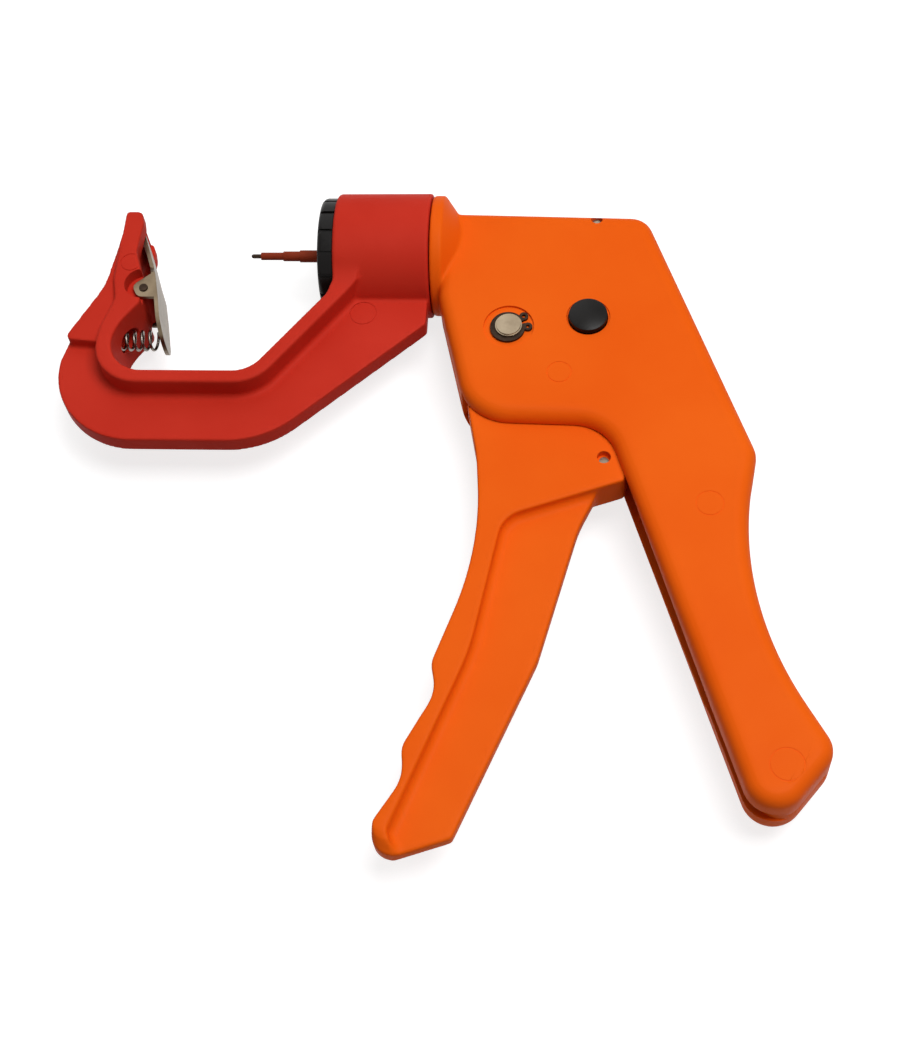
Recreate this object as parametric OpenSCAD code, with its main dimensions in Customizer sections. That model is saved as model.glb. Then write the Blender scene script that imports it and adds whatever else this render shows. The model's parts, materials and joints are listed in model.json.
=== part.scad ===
// Ear tag pliers: a pistol-shaped applicator with a swivelling C-shaped jaw.
// Squeezing the trigger drives a plunger and its needle towards the spring clip
// in the jaw head. The tool lies on its side, with the needle pointing along -X
// and the handle along -Y. Lengths are in millimetres.

/* [Body] */
// Thickness of the body across both shells
body_t = 21; // [19:0.5:24]
// Wall of the shells
wall = 2.6; // [2.2:0.1:3]
// Height of the body's top edge above the barrel axis
body_top = 10.4; // [10:0.2:13]

/* [Barrel] */
// Height of the barrel axis above the trigger pivot
axis_y = 33.7; // [32.5:0.1:36]
// Length of the jaw barrel
barrel_len = 29.3; // [26:0.1:33]
// Radius of the nose tube that the barrel turns on
nose_r = 14.6; // [13.6:0.1:15.6]
// Wall of the jaw barrel round the nose tube
barrel_wall = 4.6; // [3.8:0.1:5.4]
// Length of the collar on the shells
collar_len = 3.2; // [2.6:0.1:4]
// How far the notched ring nut lies inside the barrel's outside
ring_step = 1.3; // [0.8:0.1:1.8]
// Length of the ring nut
ring_len = 4.9; // [4.4:0.1:6]
// Notches round the ring nut
ring_notches = 16; // [8:1:24]

/* [Trigger] */
// Thickness of the trigger's finger edge and wing
trigger_t = 11.4; // [10.8:0.1:12]
// Thickness of the trigger's web, which enters the handle
web_t = 4.4; // [3.6:0.1:5.4]
// Swing of the trigger when it is squeezed, in degrees
swing = 32; // [28:0.5:32.5]

/* [Pins] */
// Diameter of the trigger's pivot pin
pivot_d = 8; // [7:0.1:8.6]
// How far the pivot pin stands out of each side
pivot_out = 1.3; // [1:0.1:3]
// Diameter of the shallow recess round each circlip
recess_d = 15; // [14.6:0.1:17]
// Diameter of the black domed caps
cap_d = 11.4; // [10.6:0.1:12]
// How far the caps stand out
cap_out = 2.2; // [1.6:0.1:3]
// Diameter of the steel cross post behind the caps
post_d = 6.4; // [5.6:0.1:7]
// Diameter of the wing pin in the trigger
wing_pin_d = 2.8; // [2.4:0.1:3.4]
// Diameter of the pin through the top edge
top_pin_d = 3.4; // [2.8:0.1:3.8]
// Diameter of the shell screws
screw_d = 2.9; // [2.5:0.1:3.2]
// Diameter of the screw heads
screw_head_d = 5.6; // [5:0.1:5.8]

/* [Plunger and needle] */
// Diameter of the plunger rod
rod_d = 9; // [8:0.1:9.4]
// Diameter of the needle's front section, which a tag stud slips on
needle_d = 2.4; // [2:0.05:2.5]
// Diameter of the needle's bare tip
tip_d = 1.35; // [1:0.05:1.5]
// How far the needle reaches out of the ring nut
needle_out = 23.4; // [20:0.1:26]
// Diameter of the drive pin
drive_pin_d = 4; // [3.4:0.1:4.4]
// Diameter of the drive rollers
roller_d = 6.4; // [5.6:0.1:6.8]

/* [Jaw] */
// Width of the jaw's flange and prongs
flange_w = 22; // [20:0.5:25]
// Thickness of the jaw's web
jaw_web_t = 6.4; // [5.4:0.1:7.6]
// Width of the slot between the prongs
fork_w = 12.6; // [12:0.1:13.4]

/* [Tag clip] */
// Sheet thickness of the clip
clip_t = 1.2; // [0.9:0.1:1.4]
// Width of the clip's lower leaf across its ears
clip_w = 16.8; // [16:0.1:18]
// Diameter of the clip's hinge pin
clip_pin_d = 2.6; // [2.2:0.1:3]

/* [Springs] */
// Outer diameter of the clip spring
clip_spring_d = 6.7; // [6:0.1:7.2]
// Wire of the clip spring
clip_wire = 0.9; // [0.7:0.05:1.1]
// Curls of the clip spring
clip_curls = 5; // [4:1:6]
// Outer diameter of the plunger spring
plunger_spring_d = 14.4; // [13:0.1:15.4]
// Wire of the plunger spring
plunger_wire = 1.3; // [1:0.1:1.5]
// Curls of the plunger spring
plunger_curls = 6; // [5:1:6]
// Wire of the trigger spring
trigger_wire = 1.2; // [0.9:0.1:1.3]

/* [Hidden] */
$fn = 64;

// Fits and small gaps shared by the pieces
run_gap = 0.05;
seat_gap = 0.02;
side_gap = 0.4;
free_gap = 0.5;
chord = 0.06;
big = 500;

// Half thicknesses and inner levels
half_t = body_t / 2;
inner_z = half_t - wall;
trigger_z = trigger_t / 2;
web_z = web_t / 2;
flange_z = flange_w / 2;
jaw_web_z = jaw_web_t / 2;

// Stations along the barrel axis
barrel_back = -25.2;
barrel_front = barrel_back - barrel_len;
barrel_r = nose_r + barrel_wall;
ring_r = barrel_r - ring_step;
collar_r = barrel_r - 0.6;
ring_front = barrel_front - ring_len;
end_play = 0.15;
washer_t = 0.45;
collar_front = barrel_back + end_play + washer_t + run_gap;
collar_back = collar_front + collar_len;
cone_end_r = 6.5;
cone_drop = collar_r - cone_end_r;
cone_len = cone_drop * 0.7;
ring_plate = 1.6;
ring_edge = 1.6;
notch_w = 1.1;
notch_deep = 0.7;
thread_r = nose_r - 1.6;
chamber_r = 9;
neck_r = 9.6;
neck_flange_r = 12.2;
neck_flange_t = 2.2;

// Trigger drive: the pin runs on an arc, half of the swing to each side of upright
drive_r = axis_y * 2 / (1 + cos(swing / 2));
stroke = 2 * drive_r * sin(swing / 2);
rest_turn = swing / 2;
drive_at = [drive_r * sin(rest_turn), drive_r * cos(rest_turn)];
arm_z = 3;
arm_w = 7.6;
hub_r = 10.6;
bush_wall = 1.6;
bush_r = pivot_d / 2 + run_gap + bush_wall;
roller_play = 0.2;
yoke_h = 2 * (body_top - wall - 2);
bridge_t = 2.2;
arm_room = arm_w / 2 / cos(rest_turn) + yoke_h / 2 * tan(rest_turn) + free_gap;
yoke_front = drive_at[0] - arm_room - bridge_t;
tube_back = yoke_front - stroke - free_gap;

// Places of the cross-going pieces, from the trigger pivot
post_at = [23.5, 3.5];
wing_pin_at = [28.8, -41.9];
top_pin_at = [25.5, axis_y + body_top - 4];
screw_at = [[38, axis_y + 0.8], [-14.5, axis_y - 19.2], [48.5, 8], [64.3, -50], [82.5, -129.5]];
boss_r = 3.8;
clip_pin_at = [-113.2, -18.3];
clip_spring_y = -32.2;
clip_spring_end = -108.4;

// Outlines: corners as [x, y, radius], anticlockwise.
// Handle and pistol body, in the pivot's own coordinates
body_corners = [[-21.8, axis_y + body_top, 5], [-21.8, 12.4, 5], [-11, -30.6, 16], [29.2, -31.8, 13],
    [71.4, -155.8, 8.4], [91, -131, 7], [64.8, -86.7, 100], [72.2, -41.5, 8],
    [40.8, axis_y + body_top - 2, 7]];
// Whole trigger: hub side, finger edge with its two bumps, tip and web
finger_edge = [[-11.5, -24, 0], [-8, -41, 60], [-5.4, -72, 100], [-17.3, -107.2, 6], [-15.4, -115.6, 12],
    [-23.7, -131.6, 6], [-22.8, -140.6, 12], [-29.9, -152.4, 4], [-30.3, -159, 5]];
wing_edge = [[34.8, -49.3, 1.4], [36.5, -41, 3], [20, -27, 6], [7, -6, 0], [-7.4, -4, 0]];
web_edge = [[-24.4, -160.6, 0], [-9.2, -155.7, 2], [11.6, -104.5, 14], [22, -63, 12], [27.2, -51.5, 0]];
web_inside = [[24, -46, 0], [1, -48, 0], [-3.6, -76, 0], [-11.6, -104, 0], [-27, -151, 0]];
rim_edge = [[-22.2, -161.4, 0.5], [-25.9, -155.6, 2.2], [-6.8, -103, 70], [0.55, -61.5, 9]];
// Jaw, in coordinates from the barrel axis
jaw_inside = [[barrel_front + 4.5, -14, 0], [-76.8, -49.8, 10], [-121.8, -49.8, 10.4], [-118.9, -33.5, 16],
    [-113, -25.2, 0.8], [-114.4, -12.8, 0.8], [-116.6, -6, 3], [-115.8, 4.8, 2], [-116.8, 9.3, 1.4]];
jaw_rim_back = [[-121.9, 9.4, 1.2], [-122.4, -16.5, 8], [-120.9, -24, 8], [-124, -34, 12],
    [-125.6, -54.1, 14], [-74.4, -54.1, 14], [barrel_front + 10.1, -14, 0]];
web_back = barrel_back - 0.6;
web_outside = [[-137.1, -42, 8], [-137.6, -69.6, 25.5], [-71.7, -69.6, 30], [web_back, -27.6, 1.4],
    [web_back, -13, 0], [barrel_front + 7.3, -13, 0], [-75.6, -51.9, 10], [-123.6, -51.9, 12], [-124, -30, 0],
    [-131.5, -30, 0], [-135.5, -35.8, 0]];
head_outside = [[-121, 7, 0], [-125.1, -17.6, 22], [-135.3, -35.3, 1.4], [-134, -36.6, 0],
    [-119.6, -38, 0], [-119, -20, 0]];
// Ear of the clip, and the centre line of its sheet, from the barrel axis, top end first
ear_corners = [[-110.6, -12, 0.8], [-108.4, -21.6, 0.8], [-114.8, -21.6, 2.4], [-117, -17.4, 2.2]];
clip_line = [[-116.9, 4.2], [-113.8, -4.6], [-110.8, -13.2], [-109, -21.2], [-107.6, -28.4],
    [-106, -35], [-104.6, -39.6]];

// Vector and outline helpers
function unit(v) = v / norm(v);
function left(v) = [-v[1], v[0]];
function turn_between(a, b) = let (d = b - a) d > 180 ? d - 360 : d < -180 ? d + 360 : d;
function corner(a, p, b, r) =
    let (u = unit(a - p), v = unit(b - p), half = acos(u * v) / 2,
        c = p + unit(u + v) * r / sin(half),
        from = p + u * r / tan(half) - c, to = p + v * r / tan(half) - c,
        a0 = atan2(from[1], from[0]), d = turn_between(a0, atan2(to[1], to[0])),
        n = max(2, ceil(abs(d) / (2 * acos(1 - min(chord / r, 0.5))))))
    [for (k = [0 : n]) c + r * [cos(a0 + d * k / n), sin(a0 + d * k / n)]];
function flat(p) = [p[0], p[1]];
function rounded(list) =
    let (n = len(list))
    [for (i = [0 : n - 1])
        let (a = flat(list[(i + n - 1) % n]), p = flat(list[i]), b = flat(list[(i + 1) % n]), r = list[i][2])
        each (r > 0 ? corner(a, p, b, r) : [p])];
function inset(list, d) =
    let (n = len(list))
    [for (i = [0 : n - 1])
        let (p = list[i], m = left(unit(p - list[(i + n - 1) % n])), k = left(unit(list[(i + 1) % n] - p)))
        p + d * (m + k) / (1 + m * k)];
function ribbon(line, t) =
    let (n = len(line), side = [for (i = [0 : n - 1])
        left(unit(line[min(i + 1, n - 1)] - line[max(i - 1, 0)])) * t / 2])
    concat([for (i = [0 : n - 1]) line[i] - side[i]], [for (i = [n - 1 : -1 : 0]) line[i] + side[i]]);

body_outline = rounded(body_corners);
web_outline = rounded(concat(web_edge, web_inside));
trigger_thick = rounded(concat(finger_edge, rim_edge, wing_edge));
jaw_web = rounded(web_outside);
jaw_rim = rounded(concat(jaw_inside, jaw_rim_back));
jaw_head = rounded(head_outside);

// The part's origin: middle of its box, at the lowest point of the barrel
function least(list, k) = min([for (p = list) p[k]]);
function most(list, k) = max([for (p = list) p[k]]);
frame_x = (least(jaw_web, 0) + most(body_outline, 0)) / 2;
frame_y = (least(trigger_thick, 1) + axis_y + barrel_r) / 2;

// Frames: the whole part, the barrel axis, and a body of revolution along it
module placed() { translate([-frame_x, -frame_y, barrel_r]) children(); }
module on_axis() { translate([0, axis_y, 0]) children(); }
module along_x() { on_axis() rotate([0, 90, 0]) children(); }
module at(p, z = 0) { translate([p[0], p[1], z]) children(); }
module ring(r, hole, z0, z1) {
    translate([0, 0, z0]) difference() {
        cylinder(r = r, h = z1 - z0);
        translate([0, 0, -1]) cylinder(r = hole, h = z1 - z0 + 2);
    }
}
module rod(r, z0, z1) { translate([0, 0, z0]) cylinder(r = r, h = z1 - z0); }
module plate(outline, z0, z1) { translate([0, 0, z0]) linear_extrude(z1 - z0) polygon(outline); }
module both_sides() { children(); mirror([0, 0, 1]) children(); }

// Wound wire: a tube of six sides swept along points round an axis
wire_sides = 6;
curl_rings = 8;
function tube_rings(path, axis, r) =
    let (n = len(path))
    [for (i = [0 : n - 1])
        let (t = unit(path[min(i + 1, n - 1)] - path[max(i - 1, 0)]), u = unit(cross(axis, t)),
            v = cross(t, u))
        for (k = [0 : wire_sides - 1])
            path[i] + r * (cos(360 * k / wire_sides) * u + sin(360 * k / wire_sides) * v)];
module wire(path, axis, d) {
    s = wire_sides;
    last = len(path) - 1;
    walls = [for (i = [0 : last - 1]) for (k = [0 : s - 1])
        let (a = i * s + k, b = i * s + (k + 1) % s)
        each [[a, b, b + s], [a, b + s, a + s]]];
    ends = [for (k = [1 : s - 2]) each [[0, k + 1, k], [last * s, last * s + k, last * s + k + 1]]];
    polyhedron(tube_rings(path, axis, d / 2), concat(walls, ends));
}
function coil_x(x0, x1, r, curls) =
    let (n = curls * curl_rings)
    [for (i = [0 : n]) [x0 + (x1 - x0) * i / n, r * cos(360 * i / curl_rings), r * sin(360 * i / curl_rings)]];
function least_gap(path, d) =
    let (n = len(path), skip = curl_rings / 2)
    min([for (i = [0 : n - 1]) for (j = [i + skip : 1 : n - 1]) norm(path[i] - path[j])]) - d;

// Shells

shell_post_z = 4;
cap_seat_z = half_t - wall - 0.6;
recess_floor = half_t - 0.8;
washer_gap_z = trigger_z + 0.9;
slot_z = web_z + side_gap;
mouth_z = trigger_z + free_gap;
top_pin_sunk = 2.6;
cap_rim_d = cap_d + 1.6;
cap_rim_deep = 0.5;
screw_sunk = 3.4;
screw_len = 14;
collar_edge = 1;

// Where the trigger passes through the lower edge, and where its web enters the handle
mouth = [[-16, -70], [36, -70], [40, -51.6], [42, -44], [30, -20], [-8, -17.5], [-12.2, -20.2], [-16, -21]];
handle_line = [for (y = [-46, -141.4]) [35.3 - 0.343 * (y + 51), y]];
handle_slot = [handle_line[0] - [8, 0], handle_line[1] - [8, 6], handle_line[1] + [3.4, -5.2],
    handle_line[1] + [wall + 4.4, -0.2], handle_line[0] + [wall + 1.4, 0]];

module nose_block() {
    along_x() rotate_extrude() polygon([[0, collar_front], [collar_r - collar_edge, collar_front],
        [collar_r, collar_front + collar_edge], [collar_r, collar_back],
        [cone_end_r, collar_back + cone_len], [0, collar_back + cone_len]]);
}

module nose_bore() {
    along_x() {
        rod(neck_r + run_gap, collar_front - 1, collar_back + cone_len + 1);
        rod(neck_flange_r + run_gap, tube_back - 2 - neck_flange_t - run_gap, tube_back - 2 + run_gap);
    }
}

// Half of the body that lies above the joint plane, before its own holes
module shell_half() {
    difference() {
        union() {
            difference() {
                union() {
                    plate(body_outline, 0, half_t);
                    intersection() {
                        nose_block();
                        translate([-big / 2, -big / 2, 0]) cube(big);
                    }
                }
                plate(inset(body_outline, wall), -1, inner_z);
            }
            ring_boss([0, 0], recess_d / 2 + 1.2, washer_gap_z);
            ring_boss(post_at, cap_d / 2 + 1.8, shell_post_z);
            ring_boss(top_pin_at, top_pin_d / 2 + 1.6, 0);
            for (p = screw_at) ring_boss(p, boss_r, 0);
        }
        plate(mouth, -1, mouth_z);
        plate(handle_slot, -1, slot_z);
        nose_bore();
        cylinder(r = pivot_d / 2 + seat_gap, h = big, center = true);
        translate([0, 0, recess_floor]) cylinder(d = recess_d, h = big);
        at(post_at) cylinder(d = post_d + 2 * seat_gap, h = big, center = true);
        at(post_at, cap_seat_z) cylinder(d = cap_d + 0.5, h = big);
        at(post_at, half_t - cap_rim_deep) cylinder(d = cap_rim_d, h = big);
        at(top_pin_at) cylinder(d = top_pin_d + 2 * seat_gap, h = big, center = true);
    }
}
module ring_boss(p, r, z0) { at(p, z0) cylinder(r = r, h = inner_z + 0.4 - z0); }

module front_shell() {
    color("darkorange") placed() difference() {
        shell_half();
        for (p = screw_at) at(p, -1) cylinder(d = screw_d + 2 * seat_gap, h = screw_len - screw_hold + 1.6);
    }
}
screw_hold = half_t - screw_sunk;
module back_shell() {
    color("darkorange") placed() mirror([0, 0, 1]) difference() {
        shell_half();
        for (p = screw_at) {
            at(p, -1) cylinder(d = screw_d + 2 * seat_gap, h = big);
            at(p, screw_hold) cylinder(d = screw_head_d + 0.4, h = big);
        }
    }
}

module shell_screws() {
    color("silver") placed() for (p = screw_at) at(p) difference() {
        union() {
            translate([0, 0, -screw_hold]) cylinder(d = screw_d, h = screw_len);
            translate([0, 0, -screw_hold - 2]) cylinder(d = screw_head_d, h = 2);
        }
        translate([0, 0, -screw_hold - 3]) cylinder(d = screw_d * 0.9, h = 2.2, $fn = 6);
    }
}

module top_pin() {
    color("silver") placed() at(top_pin_at)
        cylinder(d = top_pin_d, h = body_t - 2 * top_pin_sunk, center = true);
}

// Nose: tube, ring nut, washer and guide bush

module nose_tube() {
    color("dimgray") placed() along_x() difference() {
        union() {
            rod(thread_r, ring_front + ring_plate, collar_front);
            rod(nose_r, barrel_front - end_play, collar_front);
            rod(neck_r, collar_front - 1, tube_back);
            rod(neck_flange_r, tube_back - 2 - neck_flange_t, tube_back - 2);
        }
        rod(chamber_r, ring_front, collar_front - 2);
        rod(rod_d / 2 + run_gap + bush_wall + seat_gap, ring_front, tube_back + 1);
    }
}

module ring_nut() {
    hole = rod_d / 2 + 0.4;
    ring_back = barrel_front - end_play;
    color("#2b2b29") placed() along_x() difference() {
        rotate_extrude() polygon(concat([[hole, ring_back], [hole, ring_front]],
            [for (a = [0 : 30 : 90])
                [ring_r - ring_edge * (1 - sin(a)), ring_front + ring_edge * (1 - cos(a))]],
            [[ring_r, ring_back]]));
        rod(thread_r + seat_gap, ring_front + ring_plate, barrel_front + 1);
        for (k = [0 : ring_notches - 1]) rotate(360 * (k + 0.5) / ring_notches)
            translate([ring_r - notch_deep, -notch_w / 2, ring_front - 1])
                cube([ring_r, notch_w, ring_len + 2]);
    }
}

module thrust_washer() {
    color("#1f1f1f") placed() along_x()
        ring(collar_r - 2.4, nose_r + run_gap, collar_front - run_gap - washer_t, collar_front - run_gap);
}

module rod_bush() {
    color("tan") placed() along_x()
        ring(rod_d / 2 + run_gap + bush_wall, rod_d / 2 + run_gap, collar_front - 2, tube_back);
}

// Pivot and cross post

circlip_t = 1;
groove_deep = 0.35;
module pivot_pin() {
    reach = half_t + pivot_out;
    color("tan") placed() difference() {
        union() {
            cylinder(d = pivot_d, h = 2 * reach - 0.8, center = true);
            cylinder(d = pivot_d - 0.8, h = 2 * reach, center = true);
        }
        both_sides() ring(pivot_d, pivot_d / 2 - groove_deep, recess_floor + seat_gap,
            recess_floor + circlip_t + 2 * seat_gap);
    }
}

module circlip() {
    r = pivot_d / 2 - groove_deep + seat_gap;
    band = 1.55;
    lug = 1.35;
    lug_at = r + band + 0.5;
    opening = 20;
    translate([0, 0, recess_floor + seat_gap + seat_gap / 2]) rotate(opening) difference() {
        union() {
            translate([-0.3, 0, 0]) cylinder(r = r + band, h = circlip_t);
            for (a = [-opening, opening]) rotate(a)
                translate([lug_at, 0, 0]) cylinder(r = lug, h = circlip_t);
        }
        translate([0, 0, -1]) cylinder(r = r, h = circlip_t + 2);
        for (a = [-opening, opening]) rotate(a)
            translate([lug_at, 0, -1]) cylinder(r = 0.55, h = circlip_t + 2);
        translate([0, -0.5, -1]) cube([big, 1, circlip_t + 2]);
    }
}
module front_circlip() { color("tan") placed() circlip(); }
module back_circlip() { color("tan") placed() mirror([0, 0, 1]) circlip(); }

module pivot_washers() {
    color("white") placed() both_sides()
        ring(hub_r - 2.4, pivot_d / 2 + run_gap, trigger_z + 0.15, washer_gap_z - 0.05);
}

module cross_post() {
    color("silver") placed() at(post_at) cylinder(d = post_d, h = 2 * cap_seat_z, center = true);
}

module cap() {
    r = cap_d / 2;
    dome_rise = 0.8;
    dome_r = (r * r + dome_rise * dome_rise) / (2 * dome_rise);
    top = half_t + cap_out;
    at(post_at) intersection() {
        translate([0, 0, cap_seat_z]) cylinder(r = r, h = top - cap_seat_z);
        translate([0, 0, top - dome_r]) sphere(r = dome_r, $fn = 96);
    }
}
module front_cap() { color("#1f1f1f") placed() cap(); }
module back_cap() { color("#1f1f1f") placed() mirror([0, 0, 1]) cap(); }

// Trigger and what rides on it

spring_floor = 0.6;
wing_pin_top = trigger_z - 2.4;
wing_pin_foot = 1.1 - trigger_z;
wing_pin_rim = 1.2;
spring_bay_r = hub_r - 1.8;
module trigger() {
    leg_w = trigger_wire + 1.4;
    color("darkorange") placed() difference() {
        union() {
            plate(trigger_thick, -trigger_z, trigger_z);
            plate(web_outline, -web_z, web_z);
            cylinder(r = hub_r, h = trigger_t, center = true);
            rotate(-rest_turn) {
                translate([-arm_w / 2, 0, -arm_z]) cube([arm_w, drive_r, 2 * arm_z]);
                translate([0, drive_r, 0]) cylinder(d = arm_w, h = 2 * arm_z, center = true);
            }
        }
        cylinder(r = bush_r + seat_gap, h = big, center = true);
        translate([0, 0, spring_floor - big]) cylinder(r = spring_bay_r, h = big);
        at(drive_at) cylinder(d = drive_pin_d + 2 * seat_gap, h = big, center = true);
        at(wing_pin_at) cylinder(d = wing_pin_d + 2 * seat_gap, h = big, center = true);
        at(wing_pin_at, wing_pin_top) cylinder(d = wing_pin_d + wing_pin_rim, h = big);
        at(wing_pin_at, wing_pin_foot - big) cylinder(d = wing_pin_d + wing_pin_rim, h = big);
        spring_way(leg_w);
    }
}
// Room for the spring's legs: a sector at the post, and a groove to the wing pin
module spring_way(w) {
    plate([[0, 0], 20 * [cos(-14), sin(-14)], 20 * [cos(20), sin(20)], 20 * [cos(48), sin(48)]],
        spring_floor - big, spring_floor);
    run = leg_two[1] - leg_two[0];
    translate([leg_two[0][0], leg_two[0][1], leg_two[0][2] - big + w / 2])
        rotate(atan2(run[1], run[0])) translate([0, -w / 2, 0]) cube([norm(run) + w / 2, w, big]);
}

module trigger_bush() {
    color("tan") placed() ring(bush_r, pivot_d / 2 + run_gap, -trigger_z - 0.1, trigger_z + 0.1);
}

module wing_pin() {
    color("silver") placed() at(wing_pin_at, wing_pin_foot)
        cylinder(d = wing_pin_d, h = wing_pin_top - wing_pin_foot);
}

cheek_in = arm_z + 0.4;
cheek_out = inner_z - 1.2;
module drive_pin() {
    color("silver") placed() at(drive_at) cylinder(d = drive_pin_d, h = 2 * cheek_out, center = true);
}
module drive_rollers() {
    color("gray") placed() at(drive_at) both_sides()
        ring(roller_d / 2, drive_pin_d / 2 + run_gap, cheek_in, cheek_out);
}

// Torsion spring round the trigger bush, one leg under the cross post, one over the wing pin
spring_pitch = trigger_wire + 0.5;
spring_r = (bush_r + spring_bay_r) / 2;
spring_turns = 2;
leg_z = spring_floor - 0.15 - trigger_wire / 2;
leg_gap = 0.4;
leg_one_to = post_at - [0, post_d / 2 + trigger_wire / 2 + leg_gap];
leg_two_to = wing_pin_at + (wing_pin_d / 2 + trigger_wire / 2 + leg_gap) * left(unit(wing_pin_at));
function bearing(p) = atan2(p[1], p[0]);
turn_one = bearing(leg_one_to) + acos(spring_r / norm(leg_one_to));
turn_two = bearing(leg_two_to) - acos(spring_r / norm(leg_two_to)) + 360 * (spring_turns + 1);
spring_steps = ceil((turn_two - turn_one) / 360 * curl_rings);
spring_drop = -spring_pitch * (turn_two - turn_one) / 360;
trigger_coil = [for (i = [0 : spring_steps])
    let (a = turn_one + (turn_two - turn_one) * i / spring_steps)
    [spring_r * cos(a), spring_r * sin(a), leg_z + spring_drop * i / spring_steps]];
leg_two = [trigger_coil[spring_steps], [leg_two_to[0], leg_two_to[1], trigger_coil[spring_steps][2]]];
trigger_path = concat([[leg_one_to[0] + 2, leg_one_to[1] - 0.4, leg_z]], trigger_coil, [leg_two[1]]);
module trigger_spring() {
    color("silver") placed() wire(trigger_path, [0, 0, 1], trigger_wire);
    echo(str("least gap in trigger_spring ", least_gap(trigger_coil, trigger_wire)));
}

// Plunger, its yoke and spring, and the needle

rod_front = ring_front + 1.2;
yoke_back = drive_at[0] + roller_d / 2 + roller_play + 2.6;
stop_r = chamber_r - 0.4;
stop_t = 3;
stop_front = collar_front - 2 - stop_t - 0.3;
needle_deep = 12;

module plunger_rod() {
    color("silver") placed() along_x() difference() {
        union() {
            rod(rod_d / 2, rod_front, yoke_front);
            rod(stop_r, stop_front, stop_front + stop_t);
            rod(rod_d / 2 - 1, yoke_front - 1, yoke_front + bridge_t);
        }
        rod(needle_base_d / 2 + seat_gap, rod_front - 1, rod_front + needle_deep);
        translate([0, 0, rod_front + needle_deep / 2]) rotate([90, 0, 0])
            cylinder(d = needle_screw_d + 2 * seat_gap, h = rod_d);
    }
}

module plunger_yoke() {
    slot_d = roller_d + 2 * roller_play;
    rise = drive_r * (1 - cos(swing / 2)) / 2 + 0.3;
    length = yoke_back - yoke_front;
    color("gray") placed() on_axis() difference() {
        translate([yoke_front, -yoke_h / 2, -cheek_out]) cube([length, yoke_h, 2 * cheek_out]);
        translate([yoke_front + bridge_t, -big / 2, -cheek_in]) cube([big, big, 2 * cheek_in]);
        rotate([0, 90, 0]) cylinder(r = rod_d / 2 - 1 + seat_gap, h = big, center = true);
        for (s = [-rise, rise]) translate([drive_at[0], s, 0]) cylinder(d = slot_d, h = big, center = true);
        translate([drive_at[0] - slot_d / 2, -rise, -big / 2]) cube([slot_d, 2 * rise, big]);
    }
}

plunger_coil = coil_x(ring_front + ring_plate + plunger_wire / 2 + 0.1, stop_front - plunger_wire / 2 - 0.1,
    (plunger_spring_d - plunger_wire) / 2, plunger_curls);
module plunger_spring() {
    color("silver") placed() on_axis() wire(plunger_coil, [1, 0, 0], plunger_wire);
    echo(str("least gap in plunger_spring ", least_gap(plunger_coil, plunger_wire)));
}

needle_mid_d = needle_d + 0.7;
needle_base_d = needle_mid_d + 0.7;
needle_tip_x = ring_front - needle_out;
tip_len = 3.1;
slip_len = 7.1;
mid_len = 5.3;
needle_screw_d = 2.4;
module needle() {
    slip_front = needle_tip_x + tip_len;
    color("#5a2a22") placed() along_x() difference() {
        union() {
            rod(needle_d / 2, slip_front, slip_front + slip_len + 0.1);
            rod(needle_mid_d / 2, slip_front + slip_len, slip_front + slip_len + mid_len + 0.1);
            rod(needle_base_d / 2, slip_front + slip_len + mid_len, rod_front + needle_deep - 0.2);
        }
        rod(tip_d / 2 + seat_gap, slip_front - 1, slip_front + 4);
    }
}
module needle_tip() {
    point = tip_d * 0.4;
    color("dimgray") placed() along_x() rotate_extrude() polygon([[0, needle_tip_x],
        [tip_d * 0.3, needle_tip_x], [tip_d / 2, needle_tip_x + point],
        [tip_d / 2, needle_tip_x + tip_len + 3.8], [0, needle_tip_x + tip_len + 3.8]]);
}
module needle_screw() {
    color("dimgray") placed() along_x() translate([0, 0, rod_front + needle_deep / 2]) rotate([90, 0, 0])
        translate([0, 0, needle_base_d / 2])
            cylinder(d = needle_screw_d, h = (rod_d - needle_base_d) / 2 - 0.3);
}

// Jaw and tag clip

jaw_bore = nose_r + run_gap;
barrel_edge = 1.2;
ledge_y = -36;
head_low_z = 7.4;
head_high_z = flange_z - 0.2;
head_high_y = -3;
scallop_r = 5.4;
ear_t = clip_t;
ear_in = clip_w / 2 - ear_t;
lug_r = clip_pin_d / 2 + 1.2;
fork_reach = 12;
pocket_x = -121.6;
clip_back_gap = 0.35;

// Upper panel of the head: its faces slope in from the prongs down to a ledge above the web
module head_panel() {
    intersection() {
        plate(jaw_head, -head_high_z, head_high_z);
        below_slope();
        mirror([0, 0, 1]) below_slope();
    }
}
module below_slope() {
    slope = atan2(head_high_z - head_low_z, head_high_y - ledge_y);
    translate([0, head_high_y, head_high_z]) rotate([slope, 0, 0])
        translate([-big, -big, -big]) cube([2 * big, 2 * big, big]);
}

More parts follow.
